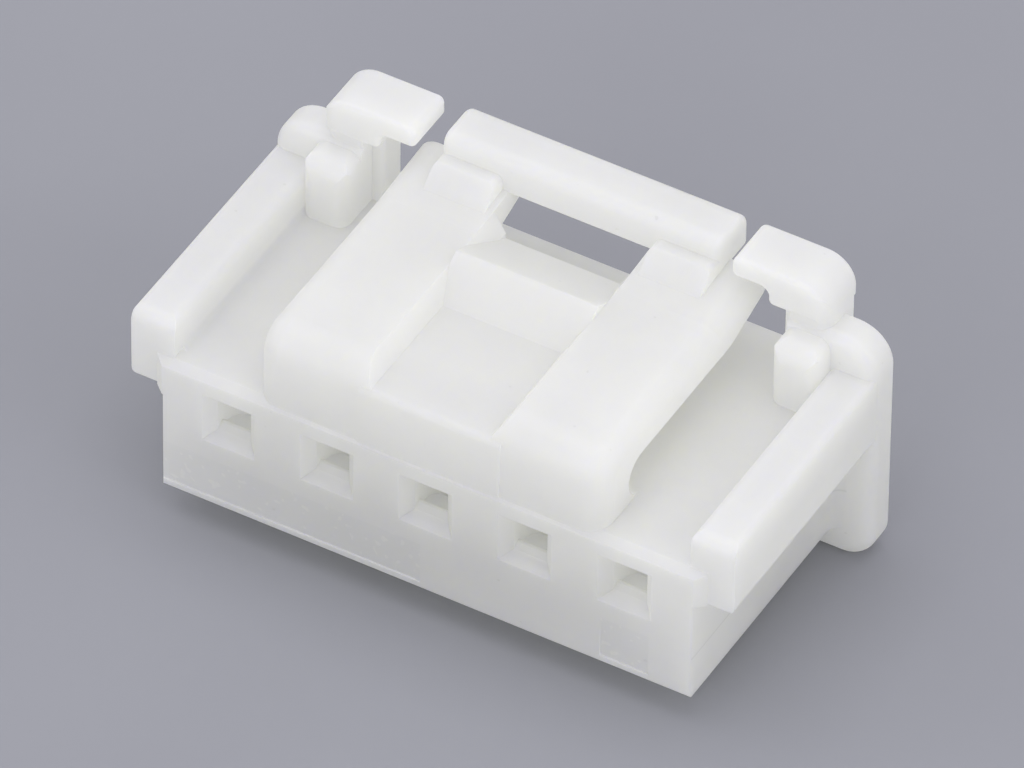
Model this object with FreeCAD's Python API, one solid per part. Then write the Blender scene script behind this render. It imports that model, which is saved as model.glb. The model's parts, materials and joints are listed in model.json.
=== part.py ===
import FreeCAD, Part
import math
import os

# Wire to board connector housing: one nylon moulding with five circuits in one row.
# It holds crimped terminals, which go in from the wire side, and it locks to its header
# with a springy lever on top. Everything is in millimetres.
# While it is drawn, X runs across the circuits from the middle, Y runs back from the mating
# face and Z runs up from the body's underside. At the end it moves to its own origin.

# Circuits
circuits = 5
pitch = 2.0
end_wall = 1.355

# Body, the block that holds the terminals
body_depth = 6.13
body_height = 2.95
body_edge = 0.05
front_bevel_depth = 0.2
front_bevel_drop = 0.11

# Brow, the slanted ends that carry the mating face's top strip back to the rails
brow_run = 0.2

# Pin entries in the mating face
entry_height = 2.0
entry_mouth = 1.08
entry_side_bevel = 0.205
entry_level_bevel = 0.17
entry_bevel_depth = 0.22
sill_depth = 0.85
sill_round = 1.3
sill_fall = 0.88

# Terminal cavities, open at the wire side
cavity_width = 1.5
cavity_floor = 0.5
cavity_roof = 0.5

# Locking lance in each cavity, over its window in the body's underside
lance_width = 0.8
lance_inset = 1.63
lance_length = 2.0
lance_rise = 0.5
lance_thickness = 0.3
window_width = 1.1
window_front_gap = 0.5

# Shallow panels in the mating face, which run out to nothing at their top
panel_depth = 0.035
panel_low = 0.15
panel_high = 1.06
panel_end = -0.1
small_panel_start = 3.53
small_panel_end = 4.5

# Guide rails along the two ends, which stand half above and half below the body's top
rail_overhang = 0.725
rail_width = 0.88
rail_rise = 0.78
rail_hang = 0.78
rail_setback = 0.18
rail_nose_round = 0.27
rail_outer_round = 0.1
rail_inner_round = 0.16
rail_low_round = 0.18
rail_foot_round = 0.12
rail_root_round = 0.15

# Flange round the wire side, open above the body
flange_lip = 0.03
flange_thickness = 0.7
flange_inset = 0.33
flange_rise = 1.49
flange_drop = 0.66
flange_top_round = 0.72
flange_foot_round = 0.6
flange_front_edge = 0.25
flange_rear_edge = 0.08
flange_root_round = 0.25

# Stop blocks in front of the flange, under the hooks
block_width = 0.9
block_length = 0.58
block_rise = 1.36
block_front_round = 0.4
block_side_round = 0.22
block_corner_round = 0.25

# Hooks over the lever, which stop it from being pulled up too far. Each post fills the gap
# between the lever and the flange, and has a cheek beside it that carries the block's rear.
post_gap = 0.55
post_width = 1.07
post_depth = 0.63
post_step = 0.25
post_edge = 0.08
cheek_setback = 0.1
hook_overlap = 0.3
hook_reach = 0.42
hook_lip = 0.07
hook_rise = 2.45
hook_thickness = 0.43
hook_outer_round = 0.6
hook_tip_round = 0.14
hook_corner_round = 0.3
hook_edge = 0.1
lug_gap = 0.43
lug_drop = 0.35
lug_round = 0.11
lug_step_round = 0.18

# Lever, which springs from the body along its front
lever_half = 3.5
lever_gap = 0.88
lever_thickness = 0.67
lever_inset = 0.33
lever_face_low = 0.07
lever_face_high = 0.12
lever_roll = 0.65
lever_side_round = 0.4
lever_rear_round = 0.1
lever_rear_rise = 0.12
rear_rise_run = 1.6
slot_start = 1.0
under_run = 1.2
under_rise = 0.37
under_bend_round = 1.0

# Press bar across the lever's rear, with a ramp up to it on each arm
bar_end_gap = 0.7
bar_lap = 0.45
bar_depth = 1.07
bar_rise = 0.8
bar_front_round = 0.25
bar_rear_round = 0.32
bar_low_round = 0.12
bar_end_round = 0.11
ramp_inner = 1.55
ramp_length = 0.7
ramp_run = 0.45
ramp_rise = 0.4
ramp_round = 0.1
ramp_side_round = 0.13

# Recess between the lever's two arms, with the catch at its rear and an opening behind it
recess_half = 1.2
recess_flare = 0.23
recess_depth = 0.38
middle_lip = 0.03
middle_front_round = 0.13
web_thickness = 0.67
web_root_round = 0.2
opening_length = 0.5
catch_back = 1.33
catch_slope = 0.87
catch_rise = 0.16
catch_fall = 0.12
catch_round = 0.08

# How far a piece runs into its neighbour before the two are joined, and how far a cut
# runs past the surface that it opens
bite = 0.2
tiny = 0.00001

entry_centres = [pitch * (index - (circuits - 1) / 2) for index in range(circuits)]
body_half = pitch * (circuits - 1) / 2 + end_wall
rail_outer = body_half + rail_overhang
rail_inner = rail_outer - rail_width
rail_top = body_height + rail_rise
rail_under = body_height - rail_hang
cavity_front = sill_depth + sill_fall
lance_root = body_depth - lance_inset
flange_half = rail_outer + flange_lip
flange_rear = body_depth - flange_inset
flange_front = flange_rear - flange_thickness
flange_top = body_height + flange_rise
post_inner = lever_half + post_gap
post_front = body_depth - post_depth
notch_half = post_inner + post_step
hook_outer = post_inner + post_width
hook_front = post_front - hook_reach
hook_rear = body_depth + hook_lip
hook_top = body_height + hook_rise
hook_under = hook_top - hook_thickness
lug_under = hook_under - lug_drop
lever_under = body_height + lever_gap
lever_top = lever_under + lever_thickness
lever_rear = body_depth - lever_inset
bar_half = lever_half - bar_end_gap
bar_front = lever_rear - bar_lap
bar_rear = bar_front + bar_depth
recess_floor = lever_top - recess_depth
recess_top_half = recess_half + recess_flare
catch_rear = bar_front - opening_length


def flat_face(corners, place):
    """Face from corners (u, v, radius), where an arc rounds each corner that has a radius."""
    stretches = []
    for index, (u, v, radius) in enumerate(corners):
        corner = FreeCAD.Vector(u, v, 0)
        if radius == 0:
            stretches.append((corner, None, corner))
            continue
        last = corners[index - 1]
        following = corners[(index + 1) % len(corners)]
        back = (FreeCAD.Vector(last[0], last[1], 0) - corner).normalize()
        onward = (FreeCAD.Vector(following[0], following[1], 0) - corner).normalize()
        half_angle = back.getAngle(onward) / 2
        inward = (back + onward).normalize()
        centre = corner + inward * (radius / math.sin(half_angle))
        run = radius / math.tan(half_angle)
        stretches.append((corner + back * run, centre - inward * radius, corner + onward * run))
    edges = []
    for index, (start, through, end) in enumerate(stretches):
        next_start = stretches[(index + 1) % len(stretches)][0]
        if through is not None:
            edges.append(Part.Arc(place(start), place(through), place(end)).toShape())
        if end.distanceToPoint(next_start) > tiny:
            edges.append(Part.LineSegment(place(end), place(next_start)).toShape())
    return Part.Face(Part.Wire(edges))


def along_x(corners, start, end):
    """Prism from corners in Y and Z."""
    face = flat_face(corners, lambda p: FreeCAD.Vector(start, p.x, p.y))
    return face.extrude(FreeCAD.Vector(end - start, 0, 0))


def along_y(corners, start, end):
    """Prism from corners in X and Z."""
    face = flat_face(corners, lambda p: FreeCAD.Vector(p.x, start, p.y))
    return face.extrude(FreeCAD.Vector(0, end - start, 0))


def along_z(corners, start, end):
    """Prism from corners in X and Y."""
    face = flat_face(corners, lambda p: FreeCAD.Vector(p.x, p.y, start))
    return face.extrude(FreeCAD.Vector(0, 0, end - start))


def box(x_range, y_range, z_range):
    """Plain block between pairs of coordinates."""
    sides = [high - low for low, high in (x_range, y_range, z_range)]
    return Part.makeBox(*sides, FreeCAD.Vector(x_range[0], y_range[0], z_range[0]))


def rectangle(u_range, v_range, radius=0):
    """Corners of a rectangle with one radius all round."""
    low, high = v_range
    left, right = u_range
    return [(left, low, radius), (right, low, radius), (right, high, radius), (left, high, radius)]


def cove(u, v, radius, u_side, v_side):
    """Corners of the fillet in the inner corner at (u, v), which opens towards both sides."""
    return [
        (u - u_side * bite, v - v_side * bite, 0),
        (u + u_side * radius, v - v_side * bite, 0),
        (u + u_side * radius, v, 0),
        (u, v, radius),
        (u, v + v_side * radius, 0),
        (u - u_side * bite, v + v_side * radius, 0),
    ]


def both_sides(shape):
    """The shape and its mirror image across the middle."""
    return [shape, shape.mirror(FreeCAD.Vector(0, 0, 0), FreeCAD.Vector(1, 0, 0))]


def soften(shape, radius, wanted):
    """Round every edge whose box passes the test."""
    return shape.makeFillet(radius, [edge for edge in shape.Edges if wanted(edge.BoundBox)])


def body():
    side = [
        (0, 0, body_edge),
        (body_depth, 0, body_edge),
        (body_depth, body_height, 0),
        (front_bevel_depth, body_height, 0),
        (0, body_height - front_bevel_drop, 0),
    ]
    plan = rectangle((-body_half, body_half), (0, body_depth), body_edge)
    return along_x(side, -body_half, body_half).common(along_z(plan, 0, body_height))


def brow():
    half = body_half + brow_run
    rear = rail_setback + bite
    side = [
        (0, rail_under, 0),
        (rear, rail_under, 0),
        (rear, body_height, 0),
        (front_bevel_depth, body_height, 0),
        (0, body_height - front_bevel_drop, 0),
    ]
    plan = [
        (-body_half, 0, 0),
        (body_half, 0, 0),
        (half, rail_setback, 0),
        (half, rear, 0),
        (-half, rear, 0),
        (-half, rail_setback, 0),
    ]
    return along_x(side, -half, half).common(along_z(plan, rail_under, body_height))


def rail():
    section = [
        (rail_inner, rail_under, 0),
        (rail_outer, rail_under, rail_low_round),
        (rail_outer, rail_top, rail_outer_round),
        (rail_inner, rail_top, rail_inner_round),
    ]
    side = [
        (rail_setback, rail_under, rail_outer_round),
        (flange_front + bite, rail_under, 0),
        (flange_front + bite, rail_top, 0),
        (rail_setback, rail_top, rail_nose_round),
    ]
    bar = along_y(section, 0, flange_front + bite)
    bar = bar.common(along_x(side, rail_inner - bite, rail_outer + bite))
    foot = cove(rail_inner, body_height, rail_foot_round, -1, 1)
    root = cove(body_half, rail_under, rail_root_round, 1, -1)
    return bar.fuse([
        along_y(foot, rail_setback + rail_nose_round, flange_front),
        along_y(root, rail_setback, flange_front),
    ])


def flange():
    outline = [
        (-flange_half, -flange_drop, flange_foot_round),
        (flange_half, -flange_drop, flange_foot_round),
        (flange_half, flange_top, flange_top_round),
        (notch_half, flange_top, 0),
        (notch_half, body_height, 0),
        (-notch_half, body_height, 0),
        (-notch_half, flange_top, 0),
        (-flange_half, flange_top, flange_top_round),
    ]

    def on_rim(edge, level):
        in_notch = edge.ZMin > body_height - tiny and max(-edge.XMin, edge.XMax) < notch_half + tiny
        return edge.YLength < tiny and abs(edge.YMin - level) < tiny and not in_notch

    plate = along_y(outline, flange_front, flange_rear)
    plate = soften(plate, flange_front_edge, lambda edge: on_rim(edge, flange_front))
    plate = soften(plate, flange_rear_edge, lambda edge: on_rim(edge, flange_rear))
    root = along_z(cove(body_half, flange_front, flange_root_round, 1, -1), 0, rail_under + bite)
    return plate.fuse(both_sides(root))


def stop_block():
    front = flange_front - block_length
    rear = hook_front + cheek_setback + bite
    outer = notch_half + block_width
    low = body_height - bite
    top = body_height + block_rise
    side = [
        (front, low, 0),
        (rear, low, 0),
        (rear, top, 0),
        (front, top, block_front_round),
    ]
    section = [
        (notch_half, low, 0),
        (outer, low, 0),
        (outer, top, block_side_round),
        (notch_half, top, block_side_round),
    ]
    plan = [
        (notch_half, front, block_corner_round),
        (outer, front, block_corner_round),
        (outer, rear, 0),
        (notch_half, rear, 0),
    ]
    block = along_x(side, notch_half - bite, outer + bite)
    block = block.common(along_y(section, front - bite, rear))
    return block.common(along_z(plan, low, top))


def hook():
    cheek_front = hook_front + cheek_setback
    post_plan = [
        (post_inner, post_front, post_edge),
        (notch_half, post_front, 0),
        (notch_half, cheek_front, post_edge),
        (hook_outer, cheek_front, hook_corner_round),
        (hook_outer, body_depth, post_edge),
        (post_inner, body_depth, post_edge),
    ]
    post = along_z(post_plan, body_height - bite, lug_under + bite)
    tip = lever_half - hook_overlap
    lug_inner = lever_half + lug_gap
    outline = [
        (tip, hook_under, lug_round),
        (lug_inner, hook_under, lug_step_round),
        (lug_inner, lug_under, lug_round),
        (hook_outer, lug_under, 0),
        (hook_outer, hook_top, hook_outer_round),
        (tip, hook_top, hook_tip_round),
    ]
    cap = along_y(outline, hook_front, hook_rear)
    cap = soften(cap, hook_edge, lambda edge: edge.YLength < tiny)
    cap_plan = [
        (tip - bite, hook_front, 0),
        (hook_outer, hook_front, hook_corner_round),
        (hook_outer, hook_rear, 0),
        (tip - bite, hook_rear, 0),
    ]
    return post.fuse(cap.common(along_z(cap_plan, lug_under - bite, hook_top + bite)))


def lever():
    """Both arms of the lever with the roll at their front, without the middle between them."""
    slot_round = lever_gap / 2
    side = [
        (lever_face_low, body_height - bite, 0),
        (slot_start + slot_round, body_height - bite, 0),
        (slot_start + slot_round, body_height, 0),
        (slot_start, body_height, slot_round),
        (slot_start, lever_under, slot_round),
        (lever_rear - under_run, lever_under, under_bend_round),
        (lever_rear, lever_under + under_rise, lever_rear_round),
        (lever_rear, lever_top + lever_rear_rise, 0),
        (lever_rear - rear_rise_run, lever_top, 0),
        (lever_face_high, lever_top, lever_roll),
    ]

    def on_outside(edge):
        in_front = edge.YMin < lever_face_high + lever_roll and edge.ZMax > body_height
        on_top = edge.ZMin > lever_top - tiny
        return edge.XLength < tiny and (in_front or on_top)

    plate = soften(along_x(side, -lever_half, lever_half), lever_side_round, on_outside)
    recess = [
        (-recess_half, body_height, 0),
        (recess_half, body_height, 0),
        (recess_half, recess_floor, 0),
        (recess_top_half, lever_top, 0),
        (recess_top_half, lever_top + bite, 0),
        (-recess_top_half, lever_top + bite, 0),
        (-recess_top_half, lever_top, 0),
        (-recess_half, recess_floor, 0),
    ]
    opening = box(
        (-recess_top_half, recess_top_half),
        (catch_rear, lever_rear + bite),
        (body_height, lever_top + bite),
    )
    return plate.cut([along_y(recess, -bite, catch_rear + bite), opening])


def middle():
    """Foot and web between the arms, with the catch at the web's rear."""
    web_under = recess_floor - web_thickness
    crest = catch_rear - catch_back
    side = [
        (lever_face_low - middle_lip, body_height - bite, 0),
        (slot_start, body_height - bite, 0),
        (slot_start, web_under, web_root_round),
        (catch_rear, web_under, catch_round),
        (catch_rear, recess_floor - catch_fall, catch_round),
        (crest, lever_top + catch_rise, catch_round),
        (crest - catch_slope, recess_floor, 0),
        (lever_face_high - middle_lip, recess_floor, middle_front_round),
    ]
    return along_x(side, -recess_top_half, recess_top_half)


def ramp():
    start = bar_front - ramp_length
    top = lever_top + ramp_rise
    side = [
        (start, lever_top - bite, 0),
        (bar_front + bite, lever_top - bite, 0),
        (bar_front + bite, top, 0),
        (start + ramp_run, top, ramp_round),
        (start, lever_top, 0),
    ]
    section = [
        (ramp_inner, lever_top - bite, 0),
        (bar_half, lever_top - bite, 0),
        (bar_half, top, bar_end_round),
        (ramp_inner, top, ramp_side_round),
    ]
    return along_x(side, ramp_inner, bar_half).common(along_y(section, start, bar_front + bite))


def press_bar():
    bar_top = lever_top + bar_rise
    side = [
        (bar_front, lever_top, bar_low_round),
        (bar_rear, lever_top, bar_low_round),
        (bar_rear, bar_top, bar_rear_round),
        (bar_front, bar_top, bar_front_round),
    ]
    bar = along_x(side, -bar_half, bar_half)
    return soften(bar, bar_end_round, lambda edge: edge.XLength < tiny)


def terminal_space(centre):
    """Everything that one circuit takes out of the body."""
    mouth = rectangle(
        (centre - entry_mouth / 2, centre + entry_mouth / 2),
        (entry_height - entry_mouth / 2, entry_height + entry_mouth / 2),
    )
    hole_half = entry_mouth / 2 - entry_side_bevel
    hole_low = entry_height - entry_mouth / 2 + entry_level_bevel
    hole_high = entry_height + entry_mouth / 2 - entry_level_bevel
    hole = rectangle((centre - hole_half, centre + hole_half), (hole_low, hole_high))
    mouth_face = flat_face(mouth, lambda p: FreeCAD.Vector(p.x, 0, p.y))
    hole_face = flat_face(hole, lambda p: FreeCAD.Vector(p.x, entry_bevel_depth, p.y))
    funnel = Part.makeLoft([mouth_face.OuterWire, hole_face.OuterWire], True)
    throat = [
        (0, hole_low, 0),
        (sill_depth, hole_low, sill_round),
        (cavity_front, cavity_floor, 0),
        (cavity_front + bite, cavity_floor, 0),
        (cavity_front + bite, hole_high, 0),
        (0, hole_high, 0),
    ]
    cavity = box(
        (centre - cavity_width / 2, centre + cavity_width / 2),
        (cavity_front, body_depth + bite),
        (cavity_floor, body_height - cavity_roof),
    )
    return funnel.fuse([along_x(throat, centre - hole_half, centre + hole_half), cavity])


def lance_window(centre):
    return box(
        (centre - window_width / 2, centre + window_width / 2),
        (lance_root - lance_length - window_front_gap, lance_root),
        (-bite, cavity_floor + bite),
    )


def lance(centre):
    side = [
        (lance_root + bite, cavity_floor - lance_thickness, 0),
        (lance_root + bite, cavity_floor, 0),
        (lance_root, cavity_floor, 0),
        (lance_root - lance_length, cavity_floor + lance_rise, 0),
        (lance_root - lance_length, cavity_floor + lance_rise - lance_thickness, 0),
        (lance_root, cavity_floor - lance_thickness, 0),
    ]
    return along_x(side, centre - lance_width / 2, centre + lance_width / 2)


def face_panel(start, end):
    """Wedge that is deepest along the panel's lower edge."""
    side = [
        (-bite, panel_low, 0),
        (panel_depth, panel_low, 0),
        (0, panel_high, 0),
        (-bite, panel_high, 0),
    ]
    return along_x(side, start, end)


def housing():
    pieces = [brow(), flange(), lever(), middle(), press_bar()]
    for side_piece in (rail(), stop_block(), hook(), ramp()):
        pieces += both_sides(side_piece)
    solid = body().fuse(pieces)
    panels = [face_panel(-body_half - bite, panel_end), face_panel(small_panel_start, small_panel_end)]
    solid = solid.cut([terminal_space(centre) for centre in entry_centres] + panels)
    solid = solid.cut([lance_window(centre) for centre in entry_centres])
    solid = solid.fuse([lance(centre) for centre in entry_centres]).removeSplitter()
    solid.translate(FreeCAD.Vector(0, -bar_rear / 2, flange_drop))
    return solid


os.makedirs("parts", exist_ok=True)
shape = housing()
print("solids", len(shape.Solids), "valid", shape.isValid(), "volume", round(shape.Volume, 2))
shape.exportStep("parts/housing.step")
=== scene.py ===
import json
import math

import bmesh
import bpy
from mathutils import Matrix, Vector

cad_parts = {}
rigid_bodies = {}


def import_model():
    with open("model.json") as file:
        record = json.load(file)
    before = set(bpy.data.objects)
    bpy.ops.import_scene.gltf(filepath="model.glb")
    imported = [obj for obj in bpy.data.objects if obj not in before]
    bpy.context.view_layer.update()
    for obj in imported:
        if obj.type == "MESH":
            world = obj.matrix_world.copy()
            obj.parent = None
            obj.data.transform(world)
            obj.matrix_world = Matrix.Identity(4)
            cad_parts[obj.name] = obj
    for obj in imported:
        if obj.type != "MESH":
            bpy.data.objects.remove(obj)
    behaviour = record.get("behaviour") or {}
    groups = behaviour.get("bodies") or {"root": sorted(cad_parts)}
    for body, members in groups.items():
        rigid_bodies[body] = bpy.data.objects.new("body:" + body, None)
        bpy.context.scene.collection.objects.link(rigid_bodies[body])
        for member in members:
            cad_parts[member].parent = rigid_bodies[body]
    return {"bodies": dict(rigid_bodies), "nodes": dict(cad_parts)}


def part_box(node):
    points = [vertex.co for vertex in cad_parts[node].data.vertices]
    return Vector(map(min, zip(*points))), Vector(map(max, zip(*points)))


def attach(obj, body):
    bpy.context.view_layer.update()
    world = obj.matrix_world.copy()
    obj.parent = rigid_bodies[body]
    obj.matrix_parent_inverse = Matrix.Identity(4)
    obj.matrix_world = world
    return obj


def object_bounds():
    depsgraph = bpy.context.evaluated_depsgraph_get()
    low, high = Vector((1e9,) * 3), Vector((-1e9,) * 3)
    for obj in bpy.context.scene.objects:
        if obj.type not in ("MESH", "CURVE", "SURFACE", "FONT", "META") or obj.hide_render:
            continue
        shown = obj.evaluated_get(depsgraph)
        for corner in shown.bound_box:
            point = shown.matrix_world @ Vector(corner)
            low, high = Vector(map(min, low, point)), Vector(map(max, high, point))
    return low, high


# Looks of a wire to board connector housing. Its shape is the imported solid, and only the noses on
# the sills of the pin entries are made here.
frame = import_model()
cad_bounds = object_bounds()
scene = bpy.context.scene
mm = 0.001


# Node helpers
def new_material(name):
    material = bpy.data.materials.new(name)
    material.use_nodes = True
    material.node_tree.nodes.clear()
    return material


def add(tree, kind, **inputs):
    """New node with its unlinked inputs set by name."""
    node = tree.nodes.new(kind)
    for name, value in inputs.items():
        node.inputs[name.replace("_", " ")].default_value = value
    return node


def noise(tree, place, size, detail=2.0):
    """Noise whose blobs are about size metres across."""
    node = add(tree, "ShaderNodeTexNoise", Scale=1 / size, Detail=detail, Roughness=0.55)
    tree.links.new(place.outputs["Object"], node.inputs["Vector"])
    return node.outputs["Fac"]


def spread(tree, value, low, high, start=0.35, end=0.65):
    """Carries value from start..end over to low..high."""
    node = add(tree, "ShaderNodeMapRange", From_Min=start, From_Max=end, To_Min=low, To_Max=high)
    tree.links.new(value, node.inputs["Value"])
    return node.outputs["Result"]


def blend_colours(tree, factor, first, second):
    """Colour between two others, each a plain colour or another node's output."""
    node = tree.nodes.new("ShaderNodeMix")
    node.data_type = "RGBA"
    tree.links.new(factor, node.inputs["Factor"])
    for name, colour in (("A", first), ("B", second)):
        socket = next(s for s in node.inputs if s.name == name and s.type == "RGBA")
        if isinstance(colour, tuple):
            socket.default_value = (*colour, 1.0)
        else:
            tree.links.new(colour, socket)
    return next(s for s in node.outputs if s.type == "RGBA")


def maths(tree, operation, first, second=0.0):
    """Result of a sum on two values, each a number or another node's output."""
    node = tree.nodes.new("ShaderNodeMath")
    node.operation = operation
    for socket, value in zip(node.inputs, (first, second)):
        if isinstance(value, (int, float)):
            socket.default_value = value
        else:
            tree.links.new(value, socket)
    return node.outputs[0]


def within(tree, value, low, high):
    """1 where value lies between low and high, and otherwise 0."""
    above = maths(tree, "GREATER_THAN", value, low)
    return maths(tree, "MULTIPLY", above, maths(tree, "LESS_THAN", value, high))


def bump(tree, height, depth, below=None):
    """Normal of a relief of that depth, on top of the relief below."""
    node = add(tree, "ShaderNodeBump", Strength=1.0, Distance=depth)
    tree.links.new(height, node.inputs["Height"])
    if below is not None:
        tree.links.new(below, node.inputs["Normal"])
    return node.outputs["Normal"]


# Places on the housing that its finish follows
face_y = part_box("housing")[0][1]
face_reach = 0.12 * mm
panel_low = 0.81 * mm
panel_high = 1.72 * mm
left_panel_end = -0.1 * mm
small_panel_start = 3.53 * mm
small_panel_end = 4.5 * mm
body_half = 5.355 * mm
side_reach = 0.01 * mm
flange_front = 1.89 * mm
parting_level = 1.58 * mm
parting_core = 0.0075 * mm
parting_width = 0.03 * mm

# Natural white nylon: slightly clouded, satin, and passing part of its light on to the other side
passed_on = 0.62
passed_colour = (0.965, 0.968, 0.908)
refraction = 1.53
specular_level = 0.8
scatter_reach = 0.25 * mm
scatter_by_colour = (1.0, 1.0, 0.7)
roughness_range = (0.3, 0.46)
dim_nylon = (0.902, 0.9, 0.928)
pale_nylon = (0.938, 0.933, 0.966)
etched_grey = (0.8, 0.81, 0.83)
etched_share = 0.45
parting_grey = (0.55, 0.56, 0.58)
parting_share = 0.6
dirt_grey = (0.5, 0.5, 0.49)
dirt_share = 0.4
dirt_band = (0.1, 0.15)
# Painted glints: white specks on the etched panels stand in for sparkle highlights
glint_white = (1.0, 1.0, 1.0)
glint_band = (0.7, 0.76)
cloud_size = 0.9 * mm
speck_size = 0.13 * mm
sink_size = 1.2 * mm
sink_depth = 0.014 * mm
grain_size = 0.06 * mm
grain_depth = 0.0018 * mm


def etched_panels(tree, across, along, level):
    """1 on the two etched panels of the mating face."""
    on_face = maths(tree, "LESS_THAN", along, face_y + face_reach)
    in_band = within(tree, level, panel_low, panel_high)
    on_left = maths(tree, "LESS_THAN", across, left_panel_end)
    on_right = within(tree, across, small_panel_start, small_panel_end)
    either = maths(tree, "MAXIMUM", on_left, on_right)
    return maths(tree, "MULTIPLY", maths(tree, "MULTIPLY", on_face, in_band), either)


def parting_line(tree, across, along, level):
    """1 on a thin line along the body's two sides, under the rails."""
    from_line = maths(tree, "ABSOLUTE", maths(tree, "SUBTRACT", level, parting_level))
    line = spread(tree, from_line, 1.0, 0.0, parting_core, parting_width)
    from_middle = maths(tree, "ABSOLUTE", across)
    on_side = maths(tree, "GREATER_THAN", from_middle, body_half - side_reach)
    before_flange = maths(tree, "LESS_THAN", along, flange_front)
    return maths(tree, "MULTIPLY", line, maths(tree, "MULTIPLY", on_side, before_flange))


def nylon_colour(tree, place, cloud):
    """Clouds, greyer etched panels with painted glints (white specks standing in for sparkle
    highlights), a dim parting line and a few dark specks.
    """
    spot = tree.nodes.new("ShaderNodeSeparateXYZ")
    tree.links.new(place.outputs["Object"], spot.inputs["Vector"])
    across, along, level = (spot.outputs[axis] for axis in "XYZ")
    etched = etched_panels(tree, across, along, level)
    parting = parting_line(tree, across, along, level)
    specks_and_glints = noise(tree, place, speck_size, 0.0)

    greyness = maths(tree, "MULTIPLY", etched, etched_share)
    dimness = maths(tree, "MULTIPLY", parting, parting_share)
    dirt = spread(tree, specks_and_glints, dirt_share, 0.0, *dirt_band)
    # Painted glints: where the speck noise is highest, the etched panels turn white, standing in
    # for sparkle highlights
    painted_glints = maths(tree, "MULTIPLY", spread(tree, specks_and_glints, 0.0, 1.0, *glint_band), etched)
    colour = blend_colours(tree, cloud, dim_nylon, pale_nylon)
    colour = blend_colours(tree, greyness, colour, etched_grey)
    colour = blend_colours(tree, dimness, colour, parting_grey)
    colour = blend_colours(tree, dirt, colour, dirt_grey)
    return blend_colours(tree, painted_glints, colour, glint_white)


def nylon():
    material = new_material("nylon_natural")
    tree = material.node_tree
    place = tree.nodes.new("ShaderNodeTexCoord")
    shader = add(
        tree, "ShaderNodeBsdfPrincipled",
        IOR=refraction, Specular_IOR_Level=specular_level, Subsurface_Weight=1.0,
        Subsurface_Radius=scatter_by_colour, Subsurface_Scale=scatter_reach,
    )
    through = add(tree, "ShaderNodeBsdfTranslucent", Color=(*passed_colour, 1.0))
    mix = add(tree, "ShaderNodeMixShader", Fac=passed_on)
    output = tree.nodes.new("ShaderNodeOutputMaterial")
    tree.links.new(shader.outputs["BSDF"], mix.inputs[1])
    tree.links.new(through.outputs["BSDF"], mix.inputs[2])
    tree.links.new(mix.outputs["Shader"], output.inputs["Surface"])

    cloud = spread(tree, noise(tree, place, cloud_size), 0.0, 1.0)
    tree.links.new(nylon_colour(tree, place, cloud), shader.inputs["Base Color"])
    roughness = spread(tree, cloud, *roughness_range, 0.0, 1.0)
    tree.links.new(roughness, shader.inputs["Roughness"])
    sinks = bump(tree, noise(tree, place, sink_size, 0.0), sink_depth)
    skin = bump(tree, noise(tree, place, grain_size, 1.0), grain_depth, sinks)
    tree.links.new(skin, shader.inputs["Normal"])
    return material


nylon_material = nylon()
housing = frame["nodes"]["housing"]
housing_body = next(iter(frame["bodies"]))
for slot in housing.material_slots:
    slot.material = nylon_material


# Nose on the sill of each pin entry, which makes the entry's lower slope longer. Depths are from
# the mating face, and heights from the entry's floor.
entry_pitch = 2.0 * mm
entry_count = 5
entry_half = 0.335 * mm
entry_floor = 2.29 * mm
nose_start = 0.2 * mm
nose_crest = 0.33 * mm
nose_flat = 0.06 * mm
nose_end = 0.5 * mm
nose_rise = 0.1 * mm
nose_root = 0.02 * mm
nose_seat = 0.01 * mm
crest_round = 0.012 * mm
crest_segments = 4


def entry_nose(index):
    centre = entry_pitch * (index - (entry_count - 1) / 2)
    half = entry_half + nose_seat
    section = [
        (nose_start, -nose_root),
        (nose_crest, nose_rise),
        (nose_crest + nose_flat, nose_rise),
        (nose_end, 0),
        (nose_end, -nose_root),
    ]
    shape = bmesh.new()
    left_end, right_end = (
        [shape.verts.new((x, face_y + depth, entry_floor + rise)) for depth, rise in section]
        for x in (centre - half, centre + half)
    )
    shape.faces.new(left_end)
    shape.faces.new(right_end[::-1])
    for first in range(len(section)):
        second = (first + 1) % len(section)
        shape.faces.new((left_end[first], right_end[first], right_end[second], left_end[second]))
    crest = [edge for edge in shape.edges if set(edge.verts) == {left_end[1], right_end[1]}]
    bmesh.ops.bevel(
        shape, geom=crest, offset=crest_round, segments=crest_segments, profile=0.5, affect="EDGES"
    )
    bmesh.ops.recalc_face_normals(shape, faces=shape.faces)
    mesh = bpy.data.meshes.new(f"entry_nose_{index + 1}")
    shape.to_mesh(mesh)
    shape.free()
    mesh.materials.append(nylon_material)
    piece = bpy.data.objects.new(mesh.name, mesh)
    scene.collection.objects.link(piece)
    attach(piece, housing_body)


for index in range(entry_count):
    entry_nose(index)


# Floor
floor_half = 1.5
floor_gap = 0.01 * mm
floor_roughness = 0.75
floor_cloud_size = 14 * mm
dim_floor = (0.26, 0.264, 0.28)
pale_floor = (0.275, 0.28, 0.296)


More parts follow.
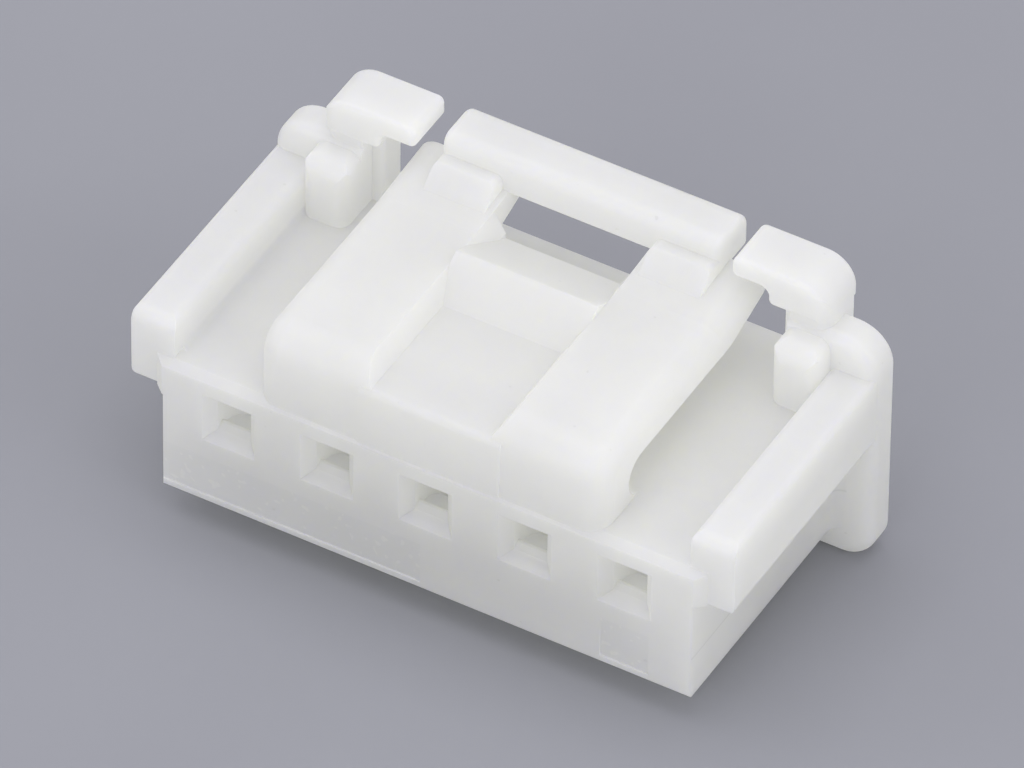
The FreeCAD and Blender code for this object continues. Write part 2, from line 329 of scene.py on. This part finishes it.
def floor():
    mesh = bpy.data.meshes.new("floor")
    corners = [
        (-floor_half, -floor_half, 0),
        (floor_half, -floor_half, 0),
        (floor_half, floor_half, 0),
        (-floor_half, floor_half, 0),
    ]
    mesh.from_pydata(corners, [], [(0, 1, 2, 3)])
    plane = bpy.data.objects.new("floor", mesh)
    plane.location = (0, 0, cad_bounds[0][2] - floor_gap)
    scene.collection.objects.link(plane)
    material = new_material("floor_grey")
    tree = material.node_tree
    place = tree.nodes.new("ShaderNodeTexCoord")
    shader = add(tree, "ShaderNodeBsdfPrincipled", Roughness=floor_roughness)
    output = tree.nodes.new("ShaderNodeOutputMaterial")
    tree.links.new(shader.outputs["BSDF"], output.inputs["Surface"])
    cloud = spread(tree, noise(tree, place, floor_cloud_size), 0.0, 1.0)
    colour = blend_colours(tree, cloud, dim_floor, pale_floor)
    tree.links.new(colour, shader.inputs["Base Color"])
    mesh.materials.append(material)


floor()


# Camera, from a fit to the photograph
azimuth = math.radians(29.46)
elevation = math.radians(43.13)
roll = math.radians(0.75)
lens = 594.3
sensor_width = 36
distance = 296.7 * mm
aim = Vector((0, -0.71, 2.66)) * mm
offset_right = 0.2659 * mm
offset_up = 0.6844 * mm
clip_start = 0.01
clip_end = 20


def camera():
    back = Vector((
        math.sin(azimuth) * math.cos(elevation),
        -math.cos(azimuth) * math.cos(elevation),
        math.sin(elevation),
    ))
    level_right = Vector((math.cos(azimuth), math.sin(azimuth), 0))
    level_up = back.cross(level_right)
    right = level_right * math.cos(roll) + level_up * math.sin(roll)
    up = level_up * math.cos(roll) - level_right * math.sin(roll)
    place = aim + back * distance + right * offset_right + up * offset_up
    data = bpy.data.cameras.new("camera")
    data.sensor_width = sensor_width
    data.lens = lens
    data.clip_start = clip_start
    data.clip_end = clip_end
    eye = bpy.data.objects.new("camera", data)
    eye.matrix_world = Matrix((
        (right.x, up.x, back.x, place.x),
        (right.y, up.y, back.y, place.y),
        (right.z, up.z, back.z, place.z),
        (0, 0, 0, 1),
    ))
    scene.collection.objects.link(eye)
    scene.camera = eye


camera()


# Light: a pale room and large soft lamps that face the part. Each has a place, width and power.
daylight = (0.935, 0.93, 1.0)
sky_strength = 0.84
softboxes = {
    "overhead": ((0.0, 0.0, 0.45), 0.4, 0.7),
    "left": ((-0.4, 0.0, 0.25), 0.35, 0.2),
    "front": ((-0.05, -0.42, 0.2), 0.35, 0.52),
    "right": ((0.4, -0.1, 0.25), 0.35, 0.4),
    "low_right": ((0.45, -0.05, 0.1), 0.2, 0.2),
}


def softbox(name, place, width, watts):
    data = bpy.data.lights.new(name, "AREA")
    data.shape = "SQUARE"
    data.size = width
    data.energy = watts
    data.color = daylight
    lamp = bpy.data.objects.new(name, data)
    lamp.location = place
    lamp.rotation_euler = (-Vector(place)).to_track_quat("-Z", "Y").to_euler()
    scene.collection.objects.link(lamp)


for name, (place, width, watts) in softboxes.items():
    softbox(name, place, width, watts)

world = bpy.data.worlds.new("room")
scene.world = world
world.use_nodes = True
sky = world.node_tree.nodes["Background"]
sky.inputs["Color"].default_value = (*daylight, 1.0)
sky.inputs["Strength"].default_value = sky_strength

scene.view_settings.view_transform = "Standard"
